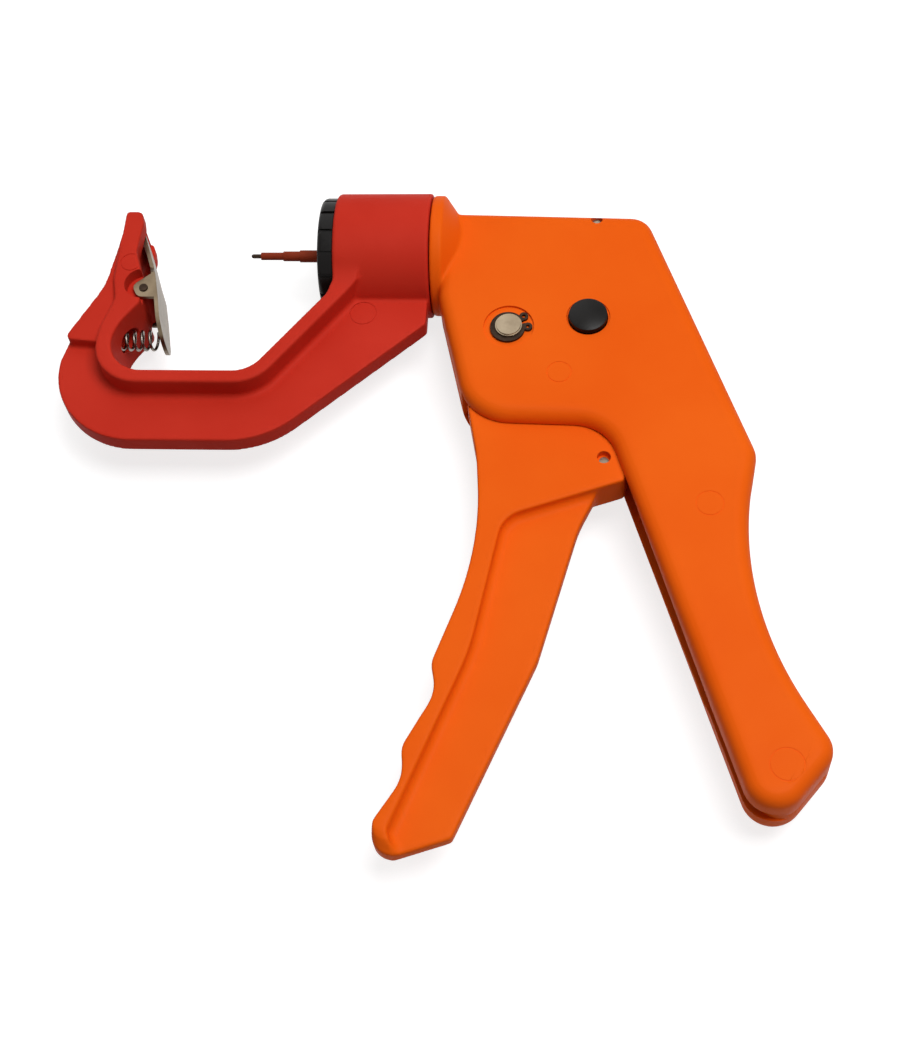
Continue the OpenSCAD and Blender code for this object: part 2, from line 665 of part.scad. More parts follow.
module jaw() {
    color("firebrick") placed() difference() {
        union() {
            along_x() rotate_extrude() polygon(concat(
                [[nose_r - 1, barrel_back], [nose_r - 1, barrel_front]],
                [for (a = [0 : 30 : 90]) [barrel_r - barrel_edge * (1 - sin(a)),
                    barrel_front + barrel_edge * (1 - cos(a))]],
                [[barrel_r, barrel_back - 0.6], [barrel_r - 0.6, barrel_back]]));
            on_axis() {
                plate(jaw_web, -jaw_web_z, jaw_web_z);
                plate(jaw_rim, -flange_z, flange_z);
                head_panel();
                at(clip_pin_at) cylinder(r = lug_r, h = clip_w, center = true);
                translate([clip_pin_at[0] - 6, clip_pin_at[1] - lug_r + 0.4, -clip_w / 2])
                    cube([6, 2 * lug_r - 0.8, clip_w]);
            }
        }
        along_x() rod(jaw_bore, barrel_front - 1, barrel_back + 1);
        on_axis() {
            at(clip_pin_at) cylinder(d = clip_pin_d + 2 * seat_gap, h = big, center = true);
            both_sides() at(clip_pin_at, ear_in - side_gap) cylinder(r = scallop_r, h = big);
            translate([clip_line[0][0] - clip_t / 2 - clip_back_gap, clip_pin_at[1] + scallop_r + 1,
                -fork_w / 2])
                cube([fork_reach, big, fork_w]);
            translate([pocket_x, clip_spring_y, 0]) rotate([0, 90, 0])
                cylinder(d = clip_spring_d + 1.2, h = 20);
        }
    }
}

// Sheet clip: a tongue that enters the fork, a wider leaf, and two ears on the hinge pin
tongue_y = -9;
tongue_z = fork_w / 2 - 0.6;
leaf_end = -35.8;
leaf_end_r = clip_w / 2 - 0.2;
module tag_clip() {
    sheet = ribbon(clip_line, clip_t);
    half = [[leaf_end, clip_w / 2, leaf_end_r], [tongue_y - 3, clip_w / 2, 1.5], [tongue_y, tongue_z, 1.5],
        [clip_line[0][1] + clip_t, tongue_z, 2]];
    widths = rounded(concat([for (p = half) [p[0], -p[1], p[2]]], [for (i = [3 : -1 : 0]) half[i]]));
    color("tan") placed() on_axis() difference() {
        union() {
            intersection() {
                plate(sheet, -clip_w / 2, clip_w / 2);
                translate([-big, 0, 0]) rotate([90, 0, 90]) linear_extrude(2 * big) polygon(widths);
            }
            both_sides() plate(rounded(ear_corners), ear_in, clip_w / 2);
        }
        at(clip_pin_at) cylinder(d = clip_pin_d + 2 * run_gap, h = big, center = true);
    }
}

module clip_pin() {
    color("#1f1f1f") placed() on_axis() at(clip_pin_at)
        cylinder(d = clip_pin_d, h = clip_w + 0.8, center = true);
}

clip_coil = coil_x(pocket_x + clip_wire / 2 + 0.1, clip_spring_end - clip_wire / 2,
    (clip_spring_d - clip_wire) / 2, clip_curls);
module clip_spring() {
    color("silver") placed() on_axis() translate([0, clip_spring_y, 0]) wire(clip_coil, [1, 0, 0], clip_wire);
    echo(str("least gap in clip_spring ", least_gap(clip_coil, clip_wire)));
}

front_shell();
back_shell();
shell_screws();
top_pin();
nose_tube();
ring_nut();
thrust_washer();
rod_bush();
pivot_pin();
front_circlip();
back_circlip();
pivot_washers();
cross_post();
front_cap();
back_cap();
trigger();
trigger_bush();
wing_pin();
drive_pin();
drive_rollers();
trigger_spring();
plunger_rod();
plunger_yoke();
plunger_spring();
needle();
needle_tip();
needle_screw();
jaw();
tag_clip();
clip_pin();
clip_spring();
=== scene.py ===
# %% [markdown]
# # Ear tag pliers, dressed for a studio picture
# The CAD model is the fixed frame of this scene: every solid is loaded in
# metres, in its final place. The plastic mouldings get their soft edges here,
# the springs become smooth wire, and every piece gets a finish made of nodes.
# The lesson starts by loading the frame and keeping its box for later.

# %% load the frame
import json
import math

import bmesh
import bpy
from mathutils import Matrix, Vector


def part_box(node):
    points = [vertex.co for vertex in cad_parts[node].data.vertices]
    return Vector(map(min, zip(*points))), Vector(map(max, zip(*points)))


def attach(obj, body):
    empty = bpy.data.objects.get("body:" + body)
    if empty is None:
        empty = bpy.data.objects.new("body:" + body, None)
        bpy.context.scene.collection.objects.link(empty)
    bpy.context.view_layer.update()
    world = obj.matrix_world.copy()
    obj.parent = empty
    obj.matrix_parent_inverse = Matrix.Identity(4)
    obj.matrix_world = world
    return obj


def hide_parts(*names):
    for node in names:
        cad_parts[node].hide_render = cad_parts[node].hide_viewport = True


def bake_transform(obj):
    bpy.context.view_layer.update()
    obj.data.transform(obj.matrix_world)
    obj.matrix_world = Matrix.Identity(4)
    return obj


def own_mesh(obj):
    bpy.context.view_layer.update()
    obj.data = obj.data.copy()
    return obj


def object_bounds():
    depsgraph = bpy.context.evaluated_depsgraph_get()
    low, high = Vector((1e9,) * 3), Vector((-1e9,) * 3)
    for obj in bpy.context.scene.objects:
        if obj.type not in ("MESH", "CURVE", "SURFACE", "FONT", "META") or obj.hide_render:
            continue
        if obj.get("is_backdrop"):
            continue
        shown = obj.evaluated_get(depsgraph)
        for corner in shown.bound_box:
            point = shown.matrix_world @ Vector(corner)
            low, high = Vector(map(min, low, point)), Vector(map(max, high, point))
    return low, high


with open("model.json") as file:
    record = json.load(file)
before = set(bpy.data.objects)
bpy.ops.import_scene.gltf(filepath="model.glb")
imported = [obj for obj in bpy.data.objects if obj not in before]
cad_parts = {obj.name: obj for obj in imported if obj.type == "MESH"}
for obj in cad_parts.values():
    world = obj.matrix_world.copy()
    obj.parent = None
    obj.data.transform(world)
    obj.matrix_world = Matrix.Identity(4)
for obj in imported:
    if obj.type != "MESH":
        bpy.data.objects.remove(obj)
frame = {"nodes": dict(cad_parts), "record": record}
cad_low, cad_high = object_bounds()
nodes = frame["nodes"]
slot_of = {p["node"]: p["material_slot"] for p in frame["record"]["subparts"]}
body_of = {n: b for b, names in frame["record"]["behaviour"]["bodies"].items() for n in names}
print("nodes", len(nodes), "box", [round(v, 4) for v in cad_high - cad_low])

# %% [markdown]
# The drawing of the tool has its zero at the trigger pivot, in millimetres.
# The frame has its zero under the middle of the tool, in metres. One small
# function goes from the first to the second, so that all shapes below can be
# written down in the numbers of the drawing.

# %% from the drawing to the frame
pin_low, pin_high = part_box("pivot_pin")
PIVOT = (pin_low + pin_high) * 500
AXIS_Y = 33.7


def placed(x, y, z):
    return (Vector((x, y, z)) + PIVOT) / 1000


def new_object(name, mesh):
    obj = bpy.data.objects.new(name, mesh)
    bpy.context.scene.collection.objects.link(obj)
    return obj


print("pivot in the frame", [round(v, 4) for v in placed(0, 0, 0)])

# %% [markdown]
# The photograph looks down on the tool at a slant, with the handle nearest.
# The camera's place and its three directions were solved from points that
# can be told apart in the picture. A matrix is the safest way to set them,
# because it leaves no doubt about the order of the turns.

# %% the camera
camera_data = bpy.data.cameras.new("camera")
camera_data.lens = 62.07
camera_data.sensor_width = 36
camera = new_object("camera", camera_data)
right, up, back = (0.9958, 0.0550, -0.0729), (-0.0133, 0.8774, 0.4795), (0.0903, -0.4765, 0.8745)
turned = Matrix((right, up, back)).transposed().to_4x4()
camera.matrix_world = Matrix.Translation(placed(31.72, -306.65, 451.4)) @ turned
bpy.context.scene.camera = camera
print("camera at", tuple(round(v, 3) for v in camera.location))

# %% [markdown]
# Light: one large soft lamp above the tool, a weaker one behind it, and an even
# pale surrounding. The picture has a white ground, so the world and the floor
# look white to the camera and in reflections, while the light that they throw
# on the tool stays at a plain level.

# %% world and lamps
scene = bpy.context.scene
scene.view_settings.view_transform = "Standard"
world = bpy.data.worlds.new("studio")
scene.world = world
world.use_nodes = True
tree = world.node_tree
ground = tree.nodes["Background"]
ground.inputs["Color"].default_value = (1, 1, 1, 1)


def seen_or_mirrored(tree):
    """1 for rays from the camera, a mirror or glass, 0 for rays of plain light"""
    path = tree.nodes.new("ShaderNodeLightPath")
    total = None
    for ray in ("Is Camera Ray", "Is Glossy Ray", "Is Transmission Ray"):
        if total is None:
            total = path.outputs[ray]
            continue
        larger = tree.nodes.new("ShaderNodeMath")
        larger.operation = "MAXIMUM"
        tree.links.new(total, larger.inputs[0])
        tree.links.new(path.outputs[ray], larger.inputs[1])
        total = larger.outputs[0]
    return total


strength = tree.nodes.new("ShaderNodeMapRange")
strength.inputs["To Min"].default_value = 0.11
strength.inputs["To Max"].default_value = 1.0
tree.links.new(seen_or_mirrored(tree), strength.inputs["Value"])
tree.links.new(strength.outputs["Result"], ground.inputs["Strength"])


def soft_lamp(name, at, to, size, power):
    data = bpy.data.lights.new(name, "AREA")
    data.shape = "SQUARE"
    data.size = size
    data.energy = power
    lamp = new_object(name, data)
    lamp.location = at
    lamp.rotation_euler = (Vector(to) - Vector(at)).to_track_quat("-Z", "Y").to_euler()
    return lamp


soft_lamp("key_lamp", (0.33, 0.02, 1.08), (0, 0, 0), 0.6, 10.0)
soft_lamp("fill_lamp", (-0.30, 0.70, 0.75), (0, 0, 0), 0.8, 2.0)

# %% [markdown]
# The floor is a wide sheet that the tool lies on. Part of its white comes from
# its own glow towards the camera, so that it stays pale and still keeps a soft
# shadow under the tool. It is stage, not part of the object.

# %% the floor
FLOOR_HALF, FLOOR_Z = 3.0, -0.0002
floor_mesh = bpy.data.meshes.new("floor")
corners = [(x * FLOOR_HALF, y * FLOOR_HALF, FLOOR_Z) for x, y in ((-1, -1), (1, -1), (1, 1), (-1, 1))]
floor_mesh.from_pydata(corners, [], [(0, 1, 2, 3)])
floor = new_object("floor", floor_mesh)
paper = bpy.data.materials.new("paper")
paper.use_nodes = True
tree = paper.node_tree
shader = tree.nodes["Principled BSDF"]
shader.inputs["Base Color"].default_value = (0.45, 0.45, 0.45, 1)
shader.inputs["Roughness"].default_value = 0.9
shader.inputs["Specular IOR Level"].default_value = 0.1
shader.inputs["Emission Color"].default_value = (1, 1, 1, 1)
glow = tree.nodes.new("ShaderNodeMapRange")
glow.inputs["To Min"].default_value = 0.0
glow.inputs["To Max"].default_value = 0.78
tree.links.new(seen_or_mirrored(tree), glow.inputs["Value"])
tree.links.new(glow.outputs["Result"], shader.inputs["Emission Strength"])
floor_mesh.materials.append(paper)
floor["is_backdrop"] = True
print("floor at z", round(floor_mesh.vertices[0].co.z, 4))

# %% [markdown]
# ## Finishes
# Every finish is a Principled shader with three noises in it: a broad one that
# shifts the colour a little, a middle one that changes the gloss, and a fine
# one that raises the surface as the grain of a mould or of drawn metal does.
# The textures read object coordinates, so grain has its real size in metres.

# %% a finish made of nodes
def linear(c):
    return c / 12.92 if c <= 0.04045 else ((c + 0.055) / 1.055) ** 2.4


def srgb(r, g, b):
    """the shader's linear colour for a screen colour of 0 to 255"""
    return (linear(r / 255), linear(g / 255), linear(b / 255), 1)


def noise(tree, size_mm, detail=2.0, stretch=(1, 1, 1)):
    where = tree.nodes.new("ShaderNodeTexCoord")
    scale = tree.nodes.new("ShaderNodeMapping")
    scale.inputs["Scale"].default_value = stretch
    tree.links.new(where.outputs["Object"], scale.inputs["Vector"])
    field = tree.nodes.new("ShaderNodeTexNoise")
    field.inputs["Scale"].default_value = 1000 / size_mm
    field.inputs["Detail"].default_value = detail
    tree.links.new(scale.outputs["Vector"], field.inputs["Vector"])
    return field.outputs["Fac"]


def finish(name, dark, light, gloss, metal=0.0, shine=0.05, grain_mm=0.5, relief=0.01, patch_mm=25,
        stretch=(1, 1, 1)):
    material = bpy.data.materials.new(name)
    material.use_nodes = True
    tree = material.node_tree
    shader = tree.nodes["Principled BSDF"]
    shader.inputs["Metallic"].default_value = metal
    shader.inputs["Specular IOR Level"].default_value = shine
    tint = tree.nodes.new("ShaderNodeValToRGB")
    tint.color_ramp.elements[0].position = 0.3
    tint.color_ramp.elements[0].color = dark
    tint.color_ramp.elements[1].position = 0.7
    tint.color_ramp.elements[1].color = light
    tree.links.new(noise(tree, patch_mm, 4.0, stretch), tint.inputs["Fac"])
    tree.links.new(tint.outputs["Color"], shader.inputs["Base Color"])
    sheen = tree.nodes.new("ShaderNodeMapRange")
    sheen.inputs["To Min"].default_value = gloss[0]
    sheen.inputs["To Max"].default_value = gloss[1]
    tree.links.new(noise(tree, patch_mm / 6, 3.0, stretch), sheen.inputs["Value"])
    tree.links.new(sheen.outputs["Result"], shader.inputs["Roughness"])
    raised = tree.nodes.new("ShaderNodeBump")
    raised.inputs["Strength"].default_value = 0.5
    raised.inputs["Distance"].default_value = relief / 1000
    tree.links.new(noise(tree, grain_mm, 2.0, stretch), raised.inputs["Height"])
    tree.links.new(raised.outputs["Normal"], shader.inputs["Normal"])
    return material


print("finish helper ready")

# %% [markdown]
# The colours are those of the photograph: an orange body and trigger, a red
# jaw, black ring and caps, and several metals. The bare steels differ in warmth:
# the pivot pin is plated with a straw tint and the tag clip is duller sheet.

# %% the finishes of the tool
finishes = {
    "orange_plastic": finish("orange_plastic", srgb(238, 92, 10), srgb(243, 100, 16), (0.44, 0.58),
        grain_mm=0.7, relief=0.012, patch_mm=38),
    "red_plastic": finish("red_plastic", srgb(195, 45, 30), srgb(203, 52, 36), (0.48, 0.62),
        grain_mm=0.55, relief=0.035, patch_mm=30),
    "black_plastic": finish("black_plastic", srgb(9, 7, 6), srgb(16, 13, 11), (0.28, 0.44), shine=0.14,
        grain_mm=0.6, relief=0.012, patch_mm=9),
    "pale_plastic": finish("pale_plastic", srgb(214, 210, 196), srgb(226, 222, 210), (0.35, 0.5),
        grain_mm=0.6, relief=0.006, patch_mm=12),
    "bright_steel": finish("bright_steel", srgb(118, 106, 92), srgb(150, 138, 122), (0.24, 0.4), metal=1.0,
        grain_mm=0.35, relief=0.006, patch_mm=5),
    "plated_steel": finish("plated_steel", srgb(124, 110, 91), srgb(148, 134, 113), (0.26, 0.42), metal=1.0,
        grain_mm=0.4, relief=0.006, patch_mm=4),
    "clip_steel": finish("clip_steel", srgb(94, 81, 65), srgb(122, 108, 88), (0.28, 0.44), metal=1.0,
        grain_mm=0.5, relief=0.008, patch_mm=6, stretch=(1, 1, 3)),
    "spring_steel": finish("spring_steel", srgb(104, 98, 92), srgb(146, 140, 132), (0.2, 0.34), metal=1.0,
        grain_mm=0.3, relief=0.004, patch_mm=4),
    "dark_steel": finish("dark_steel", srgb(40, 30, 24), srgb(66, 52, 42), (0.36, 0.52), metal=0.6,
        grain_mm=0.3, relief=0.005, patch_mm=3),
    "coated_steel": finish("coated_steel", srgb(122, 42, 22), srgb(148, 60, 36), (0.42, 0.58),
        grain_mm=0.35, relief=0.01, patch_mm=5, stretch=(0.3, 1, 1)),
    "roller_steel": finish("roller_steel", srgb(128, 126, 122), srgb(156, 154, 148), (0.25, 0.4), metal=1.0,
        grain_mm=0.3, relief=0.004, patch_mm=4),
    "light_alloy": finish("light_alloy", srgb(150, 152, 154), srgb(178, 180, 182), (0.34, 0.5), metal=1.0,
        grain_mm=0.5, relief=0.008, patch_mm=8),
    "bearing_bronze": finish("bearing_bronze", srgb(150, 108, 58), srgb(176, 132, 78), (0.3, 0.46), metal=1.0,
        grain_mm=0.4, relief=0.008, patch_mm=5),
}
for name, obj in nodes.items():
    obj.data.materials.clear()
    obj.data.materials.append(finishes[slot_of[name]])
print("finishes", len(finishes), "on nodes", len(nodes))

# %% [markdown]
# ## Building blocks
# An outline is a list of corners with a radius each, as in the drawing. The
# next helper replaces each corner by an arc. Offsetting the arcs' points along
# their normals gives the same outline a little smaller, which is what a
# rounded edge needs: a stack of ever smaller outlines.

# %% outlines with rounded corners
ARC_STEP = math.radians(9)


def corner_arc(a, p, b, r):
    u, v = (a - p).normalized(), (b - p).normalized()
    half = u.angle(v) / 2
    middle = p + (u + v).normalized() * (r / math.sin(half))
    start, end = p + u * (r / math.tan(half)) - middle, p + v * (r / math.tan(half)) - middle
    turn = start.angle_signed(end)
    steps = max(3, math.ceil(abs(turn) / ARC_STEP), math.ceil(abs(turn) * r / 2.5))
    return [middle + Matrix.Rotation(-turn * k / steps, 2) @ start for k in range(steps + 1)]


def outline(corners):
    points = []
    for k, (x, y, r) in enumerate(corners):
        a, b = Vector(corners[k - 1][:2]), Vector(corners[(k + 1) % len(corners)][:2])
        points += corner_arc(a, Vector((x, y)), b, r) if r > 0 else [Vector((x, y))]
    return points


def offset(points, d):
    """the outline moved inwards by d, for corners in anticlockwise order"""
    moved = []
    for k, p in enumerate(points):
        before, after = (p - points[k - 1]).normalized(), (points[(k + 1) % len(points)] - p).normalized()
        m, n = Vector((-before.y, before.x)), Vector((-after.y, after.x))
        moved.append(p + (m + n) * (d / (1 + m.dot(n))))
    return moved


test = outline([(0, 0, 1), (10, 0, 1), (10, 10, 1), (0, 10, 1)])
print("corner test", len(test), "points from", tuple(round(v, 2) for v in test[0]))

# %% [markdown]
# Three blocks are enough for the mouldings: a stack of outlines, which is a
# plate with any edge profile, a lathe round the barrel's axis, and a pin across
# the tool. They are written straight into a bmesh, Blender's editable mesh, so
# that several blocks can share one object.

# %% stack, lathe and pin
def add_loops(bm, loops, closed):
    """skins a list of equally long rings of points; caps the ends unless they close on each other"""
    rings = [[bm.verts.new(p) for p in loop] for loop in loops]
    n = len(rings[0])
    pairs = list(zip(rings, rings[1:])) + ([(rings[-1], rings[0])] if closed else [])
    for low, high in pairs:
        for k in range(n):
            bm.faces.new((low[k], low[(k + 1) % n], high[(k + 1) % n], high[k]))
    if not closed:
        bm.faces.new(rings[0][::-1])
        bm.faces.new(rings[-1])


def add_stack(bm, points, levels, rise=0.0):
    """levels are (inset, z); rise is added to y"""
    add_loops(bm, [[placed(p.x, p.y + rise, z) for p in offset(points, d)] for d, z in levels], False)


def add_lathe(bm, profile, closed=True, sides=96):
    """profile of (x, radius) round the barrel axis"""
    turns = [2 * math.pi * k / sides for k in range(sides)]
    rings = [[placed(x, AXIS_Y + r * math.cos(a), r * math.sin(a)) for a in turns] for x, r in profile]
    add_loops(bm, rings, closed)


def add_pin(bm, x, y, r, z0, z1, sides=64):
    """a round pin across the tool"""
    turns = [2 * math.pi * k / sides for k in range(sides)]
    rings = [[placed(x + r * math.cos(a), y + r * math.sin(a), z) for a in turns] for z in (z0, z1)]
    add_loops(bm, rings, False)


def finished_bmesh(bm, name):
    bmesh.ops.recalc_face_normals(bm, faces=bm.faces)
    mesh = bpy.data.meshes.new(name)
    bm.to_mesh(mesh)
    bm.free()
    return new_object(name, mesh)


print("blocks ready")

# %% [markdown]
# Modifiers do the heavy work, and their result is then kept as a plain mesh.
# A cutter is an object that only serves a Boolean and is deleted afterwards.
# Pieces get smooth shading with sharp edges kept by angle. Faces that lie level
# are shaded flat, so that the large sides stay even up to the edges of holes.

# %% keep a modifier's result
def frozen(obj, sharp_deg=35):
    view = bpy.context.evaluated_depsgraph_get()
    mesh = bpy.data.meshes.new_from_object(obj.evaluated_get(view))
    obj.modifiers.clear()
    obj.data = mesh
    mesh.shade_smooth()
    mesh.set_sharp_from_angle(angle=math.radians(sharp_deg))
    return obj


def boolean(obj, cutter, operation):
    change = obj.modifiers.new(operation.lower(), "BOOLEAN")
    change.operation = operation
    change.solver = "MANIFOLD"
    change.object = cutter
    bpy.context.view_layer.update()
    frozen(obj)
    bpy.data.objects.remove(cutter)
    return obj


LEVEL = math.cos(math.radians(0.8))


def welded_copy(node, name):
    mesh = nodes[node].data.copy()
    bm = bmesh.new()
    bm.from_mesh(mesh)
    bmesh.ops.remove_doubles(bm, verts=bm.verts, dist=2e-6)
    loose = sum(not e.is_manifold for e in bm.edges)
    bm.to_mesh(mesh)
    bm.free()
    print(node, "copied,", len(mesh.polygons), "faces,", loose, "open edges")
    return new_object(name, mesh)


def dressed(obj, *replaced, rides=True):
    """gives a new piece the finish of the node that it stands for, and its body if it rides on one"""
    node = replaced[0]
    obj.data.materials.clear()
    obj.data.materials.append(finishes[slot_of[node]])
    for face in obj.data.polygons:
        face.use_smooth = abs(face.normal.z) < LEVEL
    even = obj.modifiers.new("even_normals", "WEIGHTED_NORMAL")
    even.keep_sharp = True
    if rides:
        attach(obj, body_of[node])
    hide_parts(*replaced)
    how = "rides on" if rides else "starts on"
    print(obj.name, len(obj.data.polygons), "faces,", how, body_of[node])
    return obj


# %% [markdown]
# ## Plastic mouldings
# Shells, trigger and jaw have soft edges and also soft inner corners, where one
# form runs into another. A voxel remesh melts overlapping blocks into one skin,
# and smoothing that skin rounds both kinds of edge at once. The holes come
# afterwards, cut clean with Booleans, because smoothing would close them.

# %% melt blocks into one skin
def melted(obj, voxel_mm, rounds, keep_share):
    skin = obj.modifiers.new("skin", "REMESH")
    skin.mode = "VOXEL"
    skin.voxel_size = voxel_mm / 1000
    soft = obj.modifiers.new("soft", "SMOOTH")
    soft.factor = 0.5
    soft.iterations = rounds
    light = obj.modifiers.new("light", "DECIMATE")
    light.ratio = keep_share
    bpy.context.view_layer.update()
    frozen(obj)
    print(obj.name, "melted to", len(obj.data.polygons), "faces")
    return obj


FAR = 50
AXIS_R = 0.01


def both_ways(heights):
    """heights from 0 upwards, and the same below"""
    return [-h for h in reversed(heights[1:])] + list(heights)


def cut_pin(obj, *pin):
    bm = bmesh.new()
    add_pin(bm, *pin)
    boolean(obj, finished_bmesh(bm, "pin"), "DIFFERENCE")


def cut_plate(obj, points, z0, z1):
    bm = bmesh.new()
    add_stack(bm, [Vector(p) for p in points], [(0, z0), (0, z1)])
    boolean(obj, finished_bmesh(bm, "plate"), "DIFFERENCE")


def cut_bore(obj, x0, x1, r):
    """a round hole along the barrel axis"""
    bm = bmesh.new()
    add_lathe(bm, [(x0, AXIS_R), (x0, r), (x1, r), (x1, AXIS_R)], closed=False)
    boolean(obj, finished_bmesh(bm, "bore"), "DIFFERENCE")


# %% [markdown]
# The two orange shells share one outside: the pistol outline with an edge of
# about 4 mm radius, and the nose, whose cone runs into the flat sides and grows
# out of the body with a soft inner corner, as it does on the real moulding.

# %% outside of the body
HALF_T, WALL = 10.5, 2.6
SHELL_EDGE = 4.2
COLLAR_R, COLLAR_FRONT, COLLAR_BACK = 18.6, -24.55, -21.35
COLLAR_FACE = COLLAR_FRONT - 0.35
COLLAR_EDGE, LATHE_R = 0.4, 0.5
CONE_END_R, CONE_SLOPE = 6.5, 0.7
CONE_END = COLLAR_BACK + (COLLAR_R - CONE_END_R) * CONE_SLOPE
body_outline = outline([(-21.8, AXIS_Y + 10.4, 5), (-21.8, 12.4, 5), (-11, -30.6, 16), (29.2, -31.8, 13),
    (71.4, -155.8, 8.4), (91, -131, 7), (64.8, -86.7, 100), (72.2, -41.5, 8), (40.8, AXIS_Y + 8.4, 7)])


def edge_levels(half, radius, steps=6):
    """insets and heights of a plate with both edges rounded, from below to above"""
    turns = [math.pi / 2 * k / steps for k in range(steps + 1)]
    upper = [(radius * (1 - math.cos(a)), half - radius + radius * math.sin(a)) for a in turns]
    return [(d, -z) for d, z in reversed(upper)] + upper


bm = bmesh.new()
add_stack(bm, body_outline, edge_levels(HALF_T, SHELL_EDGE))
add_lathe(bm, [(COLLAR_FACE, LATHE_R), (COLLAR_FACE, COLLAR_R - COLLAR_EDGE),
    (COLLAR_FACE + COLLAR_EDGE, COLLAR_R), (COLLAR_BACK, COLLAR_R), (CONE_END, CONE_END_R), (CONE_END, LATHE_R)])
body_skin = melted(finished_bmesh(bm, "body_skin"), voxel_mm=0.5, rounds=8, keep_share=0.16)

# %% [markdown]
# Each shell is one half of that skin. Its hollow comes from the CAD shell: a
# block just inside the outside, less the CAD solid, is exactly the room that the
# solid leaves free, bosses included. Openings through the wall are cut one by
# one. The halves meet in a fine chamfered line.

# %% halves and their hollows
PARTING = 0.25
SKIN = 0.35
HALF_REACH, NOSE_GROOVE = 30, 0.3
mouth = [(-16, -70), (36, -70), (40, -51.6), (42, -44), (30, -20), (-8, -17.5), (-12.2, -20.2), (-16, -21)]
HANDLE_X, HANDLE_Y, HANDLE_LEAN = 35.3, -51, -0.343
handle_top, handle_end = [Vector((HANDLE_X + HANDLE_LEAN * (y - HANDLE_Y), y)) for y in (-46, -141.4)]
handle_slot = [handle_top - Vector((8, 0)), handle_end - Vector((8, 6)), handle_end + Vector((3.4, -5.2)),
    handle_end + Vector((WALL + 4.4, -0.2)), handle_top + Vector((WALL + 1.4, 0))]
MOUTH_Z, SLOT_Z = 6.2, 2.6
END_MIDDLE, END_R = Vector((74.36, -138.5)), 8.4


def half_cutter(side):
    """one side of the tool, with a chamfer along the parting line and a groove on the cone"""
    bm = bmesh.new()
    add_stack(bm, body_outline, [(PARTING, 0), (-1, side * (PARTING + 1)), (-1, side * HALF_REACH)])
    body_half = finished_bmesh(bm, "body_half")
    bm = bmesh.new()
    nose_box = [Vector(p) for p in ((-40, 5), (-21, 5), (-21, 60), (-40, 60))]
    add_stack(bm, nose_box, [(0, 0), (0, side * HALF_REACH)])
    boolean(body_half, finished_bmesh(bm, "nose_half"), "UNION")
    bm = bmesh.new()
    cone_box = [Vector(p) for p in ((-30, 5), (-5, 5), (-5, 60), (-30, 60))]
    add_stack(bm, cone_box, [(0, side * NOSE_GROOVE), (0, side * HALF_REACH)])
    return boolean(body_half, finished_bmesh(bm, "cone_half"), "UNION")


def hollow(node, side):
    """the room that the CAD shell leaves free"""
    bm = bmesh.new()
    add_stack(bm, body_outline, [(SKIN, -side), (SKIN, side * (HALF_T - SKIN))])
    room = finished_bmesh(bm, "room")
    return boolean(room, welded_copy(node, "solid"), "DIFFERENCE")


print("body outline", len(body_outline), "points")

# %% [markdown]
# Moulding leaves faint rings where the ejector pins pushed the part out of the
# mould. They are shallow grooves here, cut with a thin ring, because a real
# groove also shows in the exported mesh.

# %% ejector marks
MARK_WIDTH = 0.35


def add_ring(bm, x, y, r, z0, z1, sides=48):
    turns = [2 * math.pi * k / sides for k in range(sides)]
    corners = ((r, z0), (r, z1), (r - MARK_WIDTH, z1), (r - MARK_WIDTH, z0))
    rings = [[placed(x + q * math.cos(a), y + q * math.sin(a), z) for a in turns] for q, z in corners]
    add_loops(bm, rings, True)


def marks(places, z, depth):
    bm = bmesh.new()
    for x, y, d in places:
        add_ring(bm, x, y, d / 2, z - math.copysign(depth, z), z + math.copysign(1, z))
    return finished_bmesh(bm, "marks")


shell_marks = [(15.4, -16.0, 7.4), (58.5, -59.3, 8.0), (77.2, -136.0, 9.4)]
print("marks on each shell", len(shell_marks))

# %% [markdown]
# The openings: pivot bore and circlip recess, bore and seat of the cross post
# and its cap, the top pin, the mouth for the trigger, the slot for its web, the
# bore of the nose, and on the back the sunk screws.

# %% the two shells
BORE_SPARE = 0.03
PIVOT_BORE_R, CIRCLIP_R, CIRCLIP_FLOOR = 4.02, 7.5, 9.7
POST, POST_R, POST_BORE_R = Vector((23.5, 3.5)), 3.2, 3.22
CAP_SEAT_R, CAP_SEAT_FLOOR, CAP_RIM_R, CAP_RIM_FLOOR = 5.95, 7.3, 6.5, 10.0
TOP_PIN, TOP_BORE_R = (25.5, AXIS_Y + 6.4), 1.72
SCREW_BORE_R, SCREW_HEAD_R, SCREW_HEAD_FLOOR = 1.47, 3.0, 7.1
NOSE_BORE_R, NOSE_BORE_BACK = 9.68, CONE_END + 4
SHELL_MARK_DEEP = 0.14
screw_at = [(38, AXIS_Y + 0.8), (-14.5, AXIS_Y - 19.2), (48.5, 8), (64.3, -50), (82.5, -129.5)]
openings = [(0, 0, PIVOT_BORE_R, -FAR), (0, 0, CIRCLIP_R, CIRCLIP_FLOOR), (*POST, POST_BORE_R, -FAR),
    (*POST, CAP_SEAT_R, CAP_SEAT_FLOOR), (*POST, CAP_RIM_R, CAP_RIM_FLOOR), (*TOP_PIN, TOP_BORE_R, -FAR)]
screw_openings = [(x, y, SCREW_BORE_R, -FAR) for x, y in screw_at]
screw_openings += [(x, y, SCREW_HEAD_R, SCREW_HEAD_FLOOR) for x, y in screw_at]


